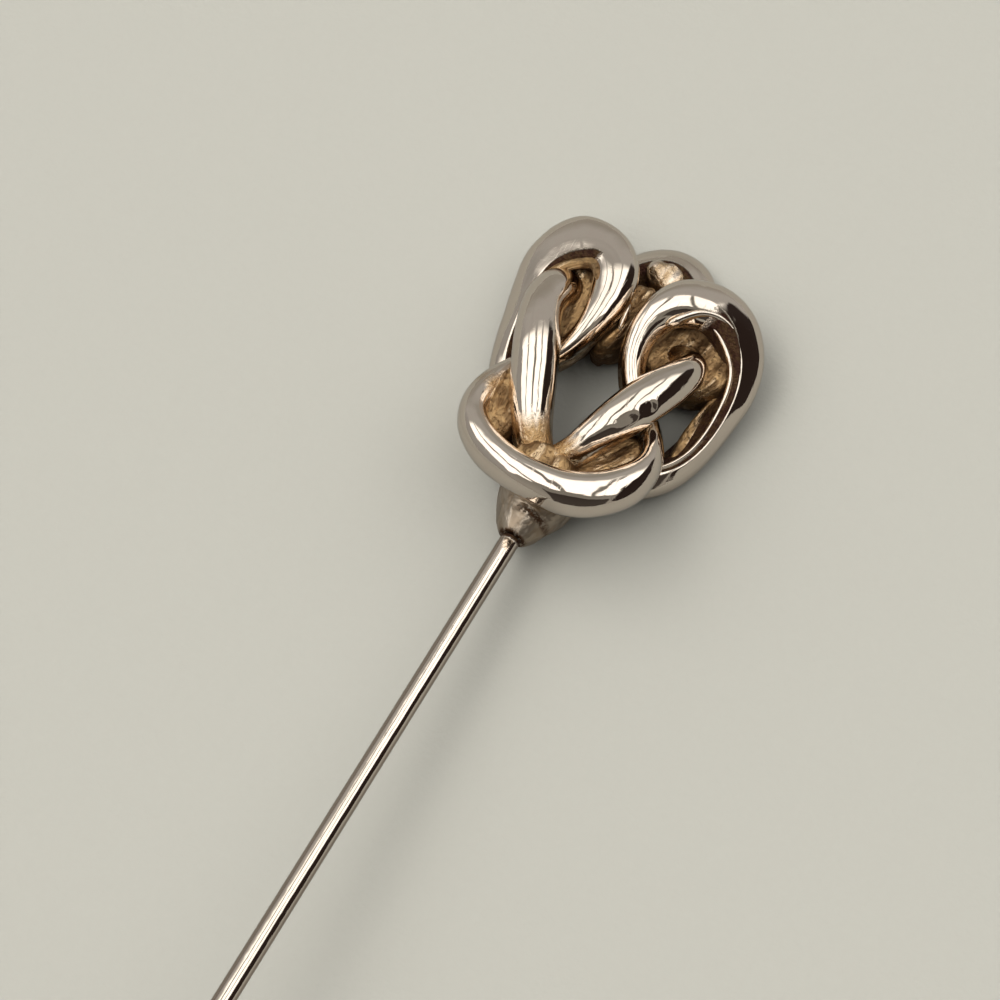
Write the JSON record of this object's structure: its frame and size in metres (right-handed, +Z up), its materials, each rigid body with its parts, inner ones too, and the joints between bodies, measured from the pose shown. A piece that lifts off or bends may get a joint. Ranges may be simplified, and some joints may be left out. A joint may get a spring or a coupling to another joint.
{
  "type": "knot stick pin",
  "caption": "Gold knot stick pin: linked rounded strands over a small cone socket, on a long straight wire stem with a plain point.",
  "frame": {"origin": "on the table under the middle of the pin's box, as the pin lies on the back of its knot", "axes": "+Z up from the table, +Y along the pin towards the knot, +X to the right of the knot seen from above with the stem below it"},
  "size_m": [0.0131, 0.0622, 0.0072],
  "materials": {
    "knot_gold": "pale gold, polished on the strands, rough and brown in the recesses",
    "stem_gold": "pale gold wire, drawn and polished, with fine lengthwise marks"
  },
  "bodies": {
    "root": {"knot_head": "knot_gold", "pin_stem": "stem_gold"}
  },
  "joints": []
}
